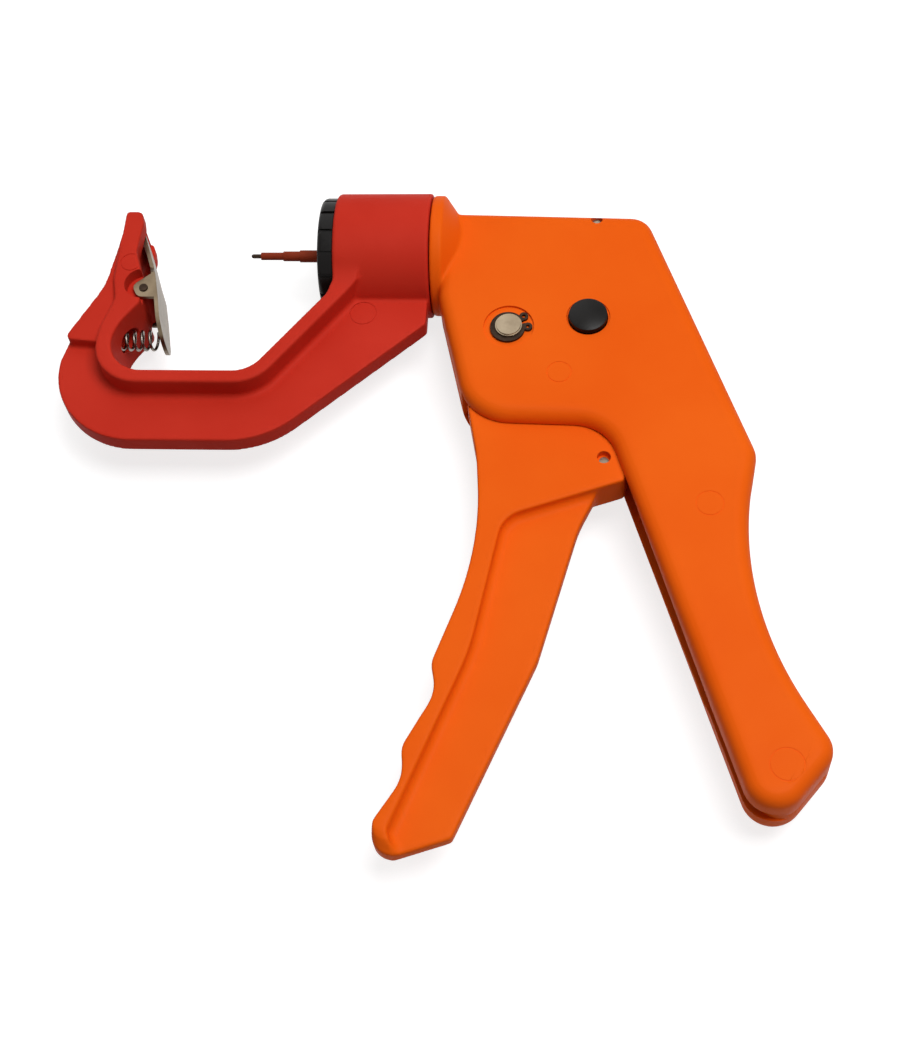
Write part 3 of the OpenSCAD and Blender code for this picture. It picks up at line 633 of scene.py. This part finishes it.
def fade_slot(shell, side):
    """the slot runs out round the handle's end instead of stopping in a step"""
    fade = [(-140, 2.6), (-126, 2.3), (-112, 1.8), (-98, 1.2), (-84, 0.6), (-70, 0.2), (-60, -0.1)]
    floor_line = []
    for turn, depth in reversed(fade):
        a = math.radians(turn)
        floor_line.append(END_MIDDLE + Vector((math.cos(a), math.sin(a))) * (END_R - depth))
    cut_plate(shell, [(60, -144), (66, -156), (84, -156)] + floor_line, -side, side * SLOT_Z)


def ease_mouth(shell, side):
    """the wide mouth narrows to the slot along a slope"""
    bm = bmesh.new()
    ease = [(28, -56, MOUTH_Z), (42, -116, SLOT_Z), (62, -116, SLOT_Z), (42, -56, MOUTH_Z)]
    middle = [placed(x, y, -side) for x, y, z in ease]
    slope = [placed(x, y, side * z) for x, y, z in ease]
    add_loops(bm, [middle, slope], False)
    boolean(shell, finished_bmesh(bm, "ease"), "DIFFERENCE")


def moulded_shell(node, side, holes):
    shell = new_object(node + "_moulded", body_skin.data.copy())
    boolean(shell, half_cutter(side), "INTERSECT")
    boolean(shell, hollow(node, side), "DIFFERENCE")
    for x, y, r, z in holes:
        cut_pin(shell, x, y, r + BORE_SPARE, side * z, side * FAR)
    cut_plate(shell, mouth, -side, side * MOUTH_Z)
    cut_plate(shell, handle_slot, -side, side * SLOT_Z)
    fade_slot(shell, side)
    ease_mouth(shell, side)
    cut_bore(shell, COLLAR_FRONT - 1, NOSE_BORE_BACK, NOSE_BORE_R)
    boolean(shell, marks(shell_marks, side * HALF_T, SHELL_MARK_DEEP), "DIFFERENCE")
    return dressed(shell, node)


moulded_shell("front_shell", 1, openings)
moulded_shell("back_shell", -1, openings + screw_openings)
bpy.data.objects.remove(body_skin)

# %% [markdown]
# The trigger is a thick finger rim and wing with a thin web behind it, a hub
# on the pivot, and an arm that drives the plunger. The rim's lower end is round
# in both directions: there, the outline is drawn up as it nears the faces.

# %% the trigger
TRIGGER_Z, WEB_Z, HUB_R, ARM_W, ARM_Z = 5.7, 2.2, 10.6, 7.6, 3
SWING = math.radians(32)
DRIVE_R = AXIS_Y * 2 / (1 + math.cos(SWING / 2))
drive_at = Vector((DRIVE_R * math.sin(SWING / 2), DRIVE_R * math.cos(SWING / 2)))
WING_PIN, WING_PIN_R = Vector((28.8, -41.9)), 1.4
finger_edge = [(-11.5, -24, 0), (-8, -41, 60), (-5.4, -72, 100), (-17.3, -107.2, 6), (-15.4, -115.6, 12),
    (-23.7, -131.6, 6), (-22.8, -140.6, 12), (-29.9, -152.4, 4), (-30.3, -159, 5)]
rim_edge = [(-23.6, -160.2, 0.5), (-25.9, -155.6, 2.2), (-6.8, -103, 70), (0.55, -61.5, 9)]
wing_edge = [(34.8, -49.3, 1.4), (36.5, -41, 3), (20, -27, 6), (7, -6, 0), (-7.4, -4, 0)]
web_edge = [(-28.7, -151.35, 0), (-37.9, -165.9, 5.6), (-9.2, -155.7, 2), (11.6, -104.5, 14), (22, -63, 40),
    (27.2, -51.5, 0)]
web_inside = [(24, -46, 0), (1, -48, 0), (-3.6, -76, 0), (-11.6, -104, 0), (-27, -151, 0)]
TIP_ROUND, TIP_FROM, TIP_TO, FOOT_X = 4.6, -152, -160, -27
tip_up = Vector((0.1, 0.995))
FILLET, FILLET_STEPS = 2.2, 5


def rim_level(points, z):
    """an outline at height z, whose tip is drawn up, and its foot faded, towards the faces"""
    over = max(0, abs(z) - (TRIGGER_Z - TIP_ROUND))
    drawn = TIP_ROUND - math.sqrt(TIP_ROUND ** 2 - over ** 2)
    level = []
    for p in points:
        rise = drawn * min(1, max(0, (p.y - TIP_FROM) / (TIP_TO - TIP_FROM)))
        foot = max(0, p.x - FOOT_X) / TIP_ROUND
        level.append(placed(p.x + (tip_up.x - foot) * rise, p.y + tip_up.y * rise, z))
    return level


def web_fillet(rim, web):
    """a hollow curve from the rim down to the web, kept within the web's outline"""
    turns = [math.pi / 2 * k / FILLET_STEPS for k in range(FILLET_STEPS + 1)]
    curve = [(FILLET * (math.sin(a) - 1), WEB_Z + FILLET * (1 - math.cos(a))) for a in turns]
    bm = bmesh.new()
    levels = [(d, -z) for d, z in reversed(curve)] + curve
    add_loops(bm, [rim_level(offset(rim, d), z) for d, z in levels], False)
    fillet = finished_bmesh(bm, "fillet")
    bm = bmesh.new()
    add_stack(bm, web, [(0, -TRIGGER_Z), (0, TRIGGER_Z)])
    return boolean(fillet, finished_bmesh(bm, "web_room"), "INTERSECT")


across = Vector((drive_at.y, -drive_at.x)).normalized() * (ARM_W / 2)
rim_heights = (0, 2, 3.4, 4.4, 5.2, TRIGGER_Z)
bm = bmesh.new()
thick = outline(finger_edge + rim_edge + wing_edge)
add_loops(bm, [rim_level(thick, z) for z in both_ways(rim_heights)], False)
web = outline(web_edge + web_inside)
add_stack(bm, web, [(0, -WEB_Z), (0, WEB_Z)])
fillet = web_fillet(thick, web)
bm.from_mesh(fillet.data)
bpy.data.objects.remove(fillet)
add_pin(bm, 0, 0, HUB_R, -TRIGGER_Z, TRIGGER_Z)
add_pin(bm, drive_at.x, drive_at.y, ARM_W / 2, -ARM_Z, ARM_Z)
add_stack(bm, [across, drive_at + across, drive_at - across, -across], [(0, -ARM_Z), (0, ARM_Z)])
trigger = melted(finished_bmesh(bm, "trigger_moulded"), voxel_mm=0.42, rounds=16, keep_share=0.4)

# %% [markdown]
# Its holes: the bush in the hub, the bay and the groove for the return spring,
# the bore of the drive pin and the counterbores of the wing pin. The sizes are
# those of the CAD solid, so the pins fit.

# %% holes of the trigger
SEAT = 0.02
BUSH_R, BAY_R, BAY_Z, BAY_GAP = 5.65, 8.8, 0.6, 0.15
WIRE, LEG_GAP, LEG_SPARE, CURL_GAP, MORE_TURNS = 1.2, 0.4, 0.7, 0.5, 3
TURN_R = (BUSH_R + BAY_R) / 2
DRIVE_PIN_R = 2
WING_PIN_SUNK, WING_PIN_FOOT, WING_PIN_RIM = 2.4, 1.1, 0.6
SWEEP_R, SWEEP_DEG = 20, (-14, 20, 48)


def left(v):
    return Vector((-v.y, v.x))


leg_one_end = POST - Vector((0, POST_R + WIRE / 2 + LEG_GAP))
leg_two_end = WING_PIN + left(WING_PIN.normalized()) * (WING_PIN_R + WIRE / 2 + LEG_GAP)
turn_one = math.atan2(leg_one_end.y, leg_one_end.x) + math.acos(TURN_R / leg_one_end.length)
turn_two = math.atan2(leg_two_end.y, leg_two_end.x) - math.acos(TURN_R / leg_two_end.length)
turn_two += 2 * math.pi * MORE_TURNS
drop = (WIRE + CURL_GAP) * (turn_two - turn_one) / (2 * math.pi)
leg_z = BAY_Z - BAY_GAP - WIRE / 2
leg_two_start = TURN_R * Vector((math.cos(turn_two), math.sin(turn_two)))
LEG_ROOM = WIRE / 2 + LEG_SPARE

cut_pin(trigger, 0, 0, BUSH_R + SEAT, -FAR, FAR)
cut_pin(trigger, 0, 0, BAY_R, -FAR, BAY_Z)
cut_pin(trigger, *drive_at, DRIVE_PIN_R + SEAT, -FAR, FAR)
cut_pin(trigger, *WING_PIN, WING_PIN_R + SEAT, -FAR, FAR)
for low, high in ((TRIGGER_Z - WING_PIN_SUNK, FAR), (-FAR, WING_PIN_FOOT - TRIGGER_Z)):
    cut_pin(trigger, *WING_PIN, WING_PIN_R + WING_PIN_RIM, low, high)
sweep = [(SWEEP_R * math.cos(a), SWEEP_R * math.sin(a)) for a in map(math.radians, SWEEP_DEG)]
cut_plate(trigger, [(0, 0)] + sweep, -FAR, BAY_Z)
run = (leg_two_end - leg_two_start).normalized()
aside = left(run) * LEG_ROOM
leg_end = leg_two_end + run * LEG_ROOM
groove = [leg_two_start - aside, leg_end - aside, leg_end + aside, leg_two_start + aside]
cut_plate(trigger, groove, -FAR, leg_z - drop + LEG_ROOM)
dressed(trigger, "trigger")

# %% [markdown]
# The jaw is one red moulding: a barrel that turns on the nose, a C-shaped web,
# a wide rim along its inner edge, and a head with two prongs. The rim's foot
# widens in a curve where it stands on the web, so the rim is a stack of outlines
# in which only the outer side moves.

# %% rim of the jaw
FLANGE_Z, JAW_WEB_Z = 11, 3.2
BARREL_R, BARREL_BACK, BARREL_FRONT = 19.2, -25.2, -54.5
FOOT, FULL_FOOT_X, FOOT_FADE_Y, FOOT_FADE = 1.4, -100, -30, 6
ARM_TOP_Y, INNER_X, OUTER_X = -14, BARREL_FRONT + 4.5, BARREL_FRONT + 10.1
PRONG_X, PRONG_Y = -116.9, 8
jaw_inside = [(INNER_X, ARM_TOP_Y, 0), (-76.8, -49.8, 10), (-121.8, -49.8, 10.4), (-118.9, -33.5, 16),
    (-113, -25.2, 0.8), (-114.4, -12.8, 0.8), (-116.6, -6, 3), (-115.8, 4.8, 2), (-116.8, 9.3, 1.4)]
jaw_rim_back = [(-121.9, 9.4, 1.2), (-122.4, -16.5, 8), (-120.9, -24, 8), (-124, -34, 12), (-125.6, -54.1, 14),
    (-74.4, -54.1, 14), (OUTER_X, ARM_TOP_Y, 0)]
rim = outline(jaw_inside + jaw_rim_back)
rim_back_from = next(k for k, p in enumerate(rim) if p.x < PRONG_X and p.y > PRONG_Y)


def foot_share(k, p):
    """no foot on the inside, none on the prongs, full along the web"""
    if k < rim_back_from:
        return 0
    return 1 if p.x > FULL_FOOT_X else min(1, max(0, (FOOT_FADE_Y - p.y) / FOOT_FADE))


def rim_loop(z):
    """the rim's outline at height z, wider near the web"""
    up = min(FOOT, max(0, abs(z) - JAW_WEB_Z))
    wide = FOOT - math.sqrt(FOOT ** 2 - (FOOT - up) ** 2)
    moved = offset(rim, -wide)
    points = [p.lerp(q, foot_share(k, p)) for k, (p, q) in enumerate(zip(rim, moved))]
    return [placed(p.x, p.y + AXIS_Y, z) for p in points]


rim_steps = [0, 3.2, 3.3, 3.5, 3.8, 4.2, 4.6, FLANGE_Z]
bm = bmesh.new()
add_loops(bm, [rim_loop(z) for z in both_ways(rim_steps)], False)
print("rim", len(rim), "points, foot from", rim_back_from)

# %% [markdown]
# Where the rim meets the barrel it flares: its sides swing outwards until they
# touch the barrel's flank. Rings of four points, one above the other, follow
# that curve, and the smoothing later melts it into the barrel.

# %% flare, web, head and barrel
FLARE_R = 12
FLARE_FROM = -math.sqrt((BARREL_R + FLARE_R) ** 2 - (FLANGE_Z + FLARE_R) ** 2)
FLARE_TO = FLARE_FROM * BARREL_R / (BARREL_R + FLARE_R)
FLARE_INSET, FLARE_BACK, FLARE_OUT_X = 0.4, 0.3, -46.6
INNER_LEAN, OUTER_LEAN = 0.7486, 0.748
LOW_EASE, LOW_EASE_Y, HIGH_EASE, HIGH_EASE_Y = 0.35, -17, 0.4, -26


def flare_ring(y):
    """four corners at height y; the half width follows an arc that touches rim and barrel"""
    if y > FLARE_TO:
        half = math.sqrt(BARREL_R ** 2 - y ** 2) - FLARE_INSET
    else:
        half = FLANGE_Z + FLARE_R - math.sqrt(FLARE_R ** 2 - max(0, y - FLARE_FROM) ** 2)
    below_barrel = BARREL_FRONT + FLARE_BACK - LOW_EASE * max(0, LOW_EASE_Y - y)
    along_arm = INNER_X + (y - ARM_TOP_Y) * INNER_LEAN + HIGH_EASE * max(0, y - HIGH_EASE_Y)
    inner = min(below_barrel, along_arm)
    outer = min(OUTER_X + (y - ARM_TOP_Y) * OUTER_LEAN, FLARE_OUT_X)
    ring = ((inner, -half), (outer, -half), (outer, half), (inner, half))
    return [placed(x, y + AXIS_Y, z) for x, z in ring]


add_loops(bm, [flare_ring(y) for y in range(-32, -8)], False)
web_back = BARREL_BACK - 0.6
web_outside = [(-137.1, -42, 8), (-137.6, -69.6, 25.5), (-71.7, -69.6, 30), (web_back, -27.6, 1.4),
    (web_back, -13, 0), (BARREL_FRONT + 7.3, -13, 0), (-75.6, -51.9, 10), (-123.6, -51.9, 12), (-124, -30, 0),
    (-131.5, -30, 0), (-135.5, -35.8, 0)]
add_stack(bm, outline(web_outside), [(0, -JAW_WEB_Z), (0, JAW_WEB_Z)], AXIS_Y)
head_outside = [(-121, 7, 0), (-125.1, -17.6, 22), (-135.3, -35.3, 1.4), (-134, -36.6, 0), (-119.6, -38, 0),
    (-119, -20, 0)]
HEAD_LOW_Z, HEAD_HIGH_Z, LEDGE_Y, HEAD_HIGH_Y = 7.4, 10.8, -36, -3


def head_half(y):
    """half the head's width, which grows from the ledge up to the prongs"""
    slope = (HEAD_HIGH_Z - HEAD_LOW_Z) / (HEAD_HIGH_Y - LEDGE_Y)
    return min(HEAD_HIGH_Z, HEAD_HIGH_Z + (y - HEAD_HIGH_Y) * slope)


head = outline(head_outside)
add_loops(bm, [[placed(p.x, p.y + AXIS_Y, s * head_half(p.y)) for p in head] for s in (-1, 1)], False)
CORE_R, BARREL_EDGE = 4, 0.6
add_lathe(bm, [(BARREL_BACK, CORE_R), (BARREL_FRONT, CORE_R), (BARREL_FRONT, BARREL_R - BARREL_EDGE),
    (BARREL_FRONT + BARREL_EDGE, BARREL_R), (BARREL_BACK, BARREL_R)])
CLIP_W, EAR_T, LUG_R, LUG_INSET, LUG_REACH = 16.8, 1.2, 2.5, 0.4, 6
CLIP_PIN = Vector((-113.2, -18.3))
add_pin(bm, CLIP_PIN.x, CLIP_PIN.y + AXIS_Y, LUG_R, -CLIP_W / 2, CLIP_W / 2)
lug_half = LUG_R - LUG_INSET
lug_corners = ((-LUG_REACH, -lug_half), (0, -lug_half), (0, lug_half), (-LUG_REACH, lug_half))
lug = [CLIP_PIN + Vector(corner) for corner in lug_corners]
add_stack(bm, lug, [(0, -CLIP_W / 2), (0, CLIP_W / 2)], AXIS_Y)
jaw = melted(finished_bmesh(bm, "jaw_moulded"), voxel_mm=0.42, rounds=8, keep_share=0.4)

# %% [markdown]
# Cut into it: the bore for the nose, the hole of the clip's hinge pin with a
# scallop on each side for the clip's ears, the slot between the prongs, and the
# pocket of the clip spring. The web and each prong have a faint ejector ring,
# and the prongs' tips lie a hair lower than the rest.

# %% holes of the jaw
NOSE_R, NOSE_GAP, PAST_END = 14.6, 0.05, 5
CLIP_PIN_R, EAR_GAP = 1.32, 0.4
FORK_FLOOR_X, FORK_STEP = -117.85, 1
POCKET_R, POCKET_REACH, POCKET_SIDES = 3.95, 20, 48
JAW_MARK_DEEP, TIP_STEP = 0.2, 0.2
web_mark, prong_mark = (-45.2, 9.7, 8.4), (-117.7, 23.2, 6.6)
prong_tip = [(-130, 29.1), (-108, 30.2), (-108, 55), (-130, 55)]
FORK_W, SCALLOP_R, POCKET_X, CLIP_SPRING_Y = 12.6, 5.4, -121.6, -32.2
cut_bore(jaw, BARREL_FRONT - PAST_END, BARREL_BACK + PAST_END, NOSE_R + NOSE_GAP)
pin_y = CLIP_PIN.y + AXIS_Y
cut_pin(jaw, CLIP_PIN.x, pin_y, CLIP_PIN_R, -FAR, FAR)
scallop_z = CLIP_W / 2 - EAR_T - EAR_GAP
for low, high in ((scallop_z, FAR), (-FAR, -scallop_z)):
    cut_pin(jaw, CLIP_PIN.x, pin_y, SCALLOP_R, low, high)
fork_low = pin_y + SCALLOP_R + FORK_STEP
fork = ((FORK_FLOOR_X, fork_low), (-100, fork_low), (-100, 60), (FORK_FLOOR_X, 60))
cut_plate(jaw, fork, -FORK_W / 2, FORK_W / 2)
bm = bmesh.new()
turns = [2 * math.pi * k / POCKET_SIDES for k in range(POCKET_SIDES)]
pocket = [[placed(x, CLIP_SPRING_Y + AXIS_Y + POCKET_R * math.cos(a), POCKET_R * math.sin(a)) for a in turns]
    for x in (POCKET_X, POCKET_X + POCKET_REACH)]
add_loops(bm, pocket, False)
boolean(jaw, finished_bmesh(bm, "pocket"), "DIFFERENCE")
boolean(jaw, marks([web_mark], JAW_WEB_Z, JAW_MARK_DEEP), "DIFFERENCE")
for side in (-1, 1):
    boolean(jaw, marks([prong_mark], side * FLANGE_Z, JAW_MARK_DEEP), "DIFFERENCE")
    cut_plate(jaw, prong_tip, side * (FLANGE_Z - TIP_STEP), side * FAR)
dressed(jaw, "jaw")

# %% [markdown]
# ## Springs
# A curve with a round bevel is the natural way to draw wire. The paths are the
# same helices as in the CAD model, with many more points. The trigger's spring,
# whose one leg stays with the body while the other goes with the trigger, is
# attached to no body here.

# %% the three springs
CURL_POINTS, WIRE_SHARP = 24, math.radians(50)
LEG_PAST, LEG_BEND = 2, 0.4
RING_FRONT, RING_PLATE, SPRING_GAP = BARREL_FRONT - 4.9, 1.6, 0.1
STOP_FRONT = COLLAR_FRONT - 5.3
PLUNGER_WIRE, PLUNGER_CURL_R, PLUNGER_CURLS = 1.3, 6.55, 6
CLIP_WIRE, CLIP_CURL_R, CLIP_CURLS, CLIP_COIL_END = 0.9, 2.9, 5, -108.85


def wire(name, points, diameter, node, rides=True):
    """round wire along the points, as a mesh"""
    data = bpy.data.curves.new(name, "CURVE")
    data.dimensions = "3D"
    data.bevel_depth = diameter / 2000
    data.bevel_resolution = 3
    data.use_fill_caps = True
    spline = data.splines.new("POLY")
    spline.points.add(len(points) - 1)
    for slot, p in zip(spline.points, points):
        slot.co = (*placed(*p), 1)
    path = new_object(name + "_path", data)
    view = bpy.context.evaluated_depsgraph_get()
    mesh = bpy.data.meshes.new_from_object(path.evaluated_get(view))
    bpy.data.objects.remove(path)
    mesh.shade_smooth()
    mesh.set_sharp_from_angle(angle=WIRE_SHARP)
    return dressed(new_object(name, mesh), node, rides=rides)


def coil_x(x0, x1, y, r, curls):
    """a helix along x"""
    n = curls * CURL_POINTS
    turns = [2 * math.pi * k / CURL_POINTS for k in range(n + 1)]
    return [(x0 + (x1 - x0) * k / n, y + r * math.cos(a), r * math.sin(a)) for k, a in enumerate(turns)]


steps = round((turn_two - turn_one) / (2 * math.pi) * CURL_POINTS)
coil = [(turn_one + (turn_two - turn_one) * k / steps, leg_z - drop * k / steps) for k in range(steps + 1)]
path = [(leg_one_end.x + LEG_PAST, leg_one_end.y - LEG_BEND, leg_z)]
path += [(TURN_R * math.cos(a), TURN_R * math.sin(a), z) for a, z in coil]
path += [(leg_two_end.x, leg_two_end.y, leg_z - drop)]
torsion_spring = wire("trigger_return_spring", path, WIRE, "trigger_spring", rides=False)
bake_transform(torsion_spring)
plunger_seat = RING_FRONT + RING_PLATE + SPRING_GAP
plunger_stop = STOP_FRONT - SPRING_GAP - PLUNGER_WIRE / 2
plunger_coil = coil_x(plunger_seat + PLUNGER_WIRE / 2, plunger_stop, AXIS_Y, PLUNGER_CURL_R, PLUNGER_CURLS)
return_spring = wire("plunger_return_spring", plunger_coil, PLUNGER_WIRE, "plunger_spring")
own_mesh(return_spring)
clip_y, clip_start = CLIP_SPRING_Y + AXIS_Y, POCKET_X + SPRING_GAP + CLIP_WIRE / 2
clip_coil = coil_x(clip_start, CLIP_COIL_END, clip_y, CLIP_CURL_R, CLIP_CURLS)
clip_spring = wire("clip_coil_spring", clip_coil, CLIP_WIRE, "clip_spring")
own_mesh(clip_spring)

# %% [markdown]
# ## Small metal and black pieces
# Their CAD shapes are right, apart from edges that are perfectly sharp, which
# nothing real is. A copy with a fine bevel catches the light along its edges.

# %% fine edges
def with_fine_edges(node, width_mm, segments=2):
    """a copy of a CAD node with its edges bevelled"""
    obj = welded_copy(node, node + "_edged")
    edge = obj.modifiers.new("edge", "BEVEL")
    edge.width = width_mm / 1000
    edge.segments = segments
    edge.limit_method = "ANGLE"
    edge.angle_limit = math.radians(40)
    bpy.context.view_layer.update()
    return dressed(frozen(obj), node)


for node, width in (("ring_nut", 0.3), ("front_cap", 0.2), ("back_cap", 0.2), ("pivot_pin", 0.2),
        ("front_circlip", 0.12), ("back_circlip", 0.12), ("tag_clip", 0.2), ("clip_pin", 0.2), ("top_pin", 0.3),
        ("wing_pin", 0.3), ("needle", 0.15), ("needle_tip", 0.08), ("shell_screws", 0.2)):
    with_fine_edges(node, width)

# %% [markdown]
# Last, the box of the dressed tool is measured and written beside the box of
# the CAD model, because dressing must not change the size.

# %% compare the boxes and finish
new_low, new_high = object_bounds()
growth = [max(a - b, c - d) * 1000 for a, b, c, d in zip(cad_low, new_low, new_high, cad_high)]
print("box grew by", [round(v, 3) for v in growth], "mm")
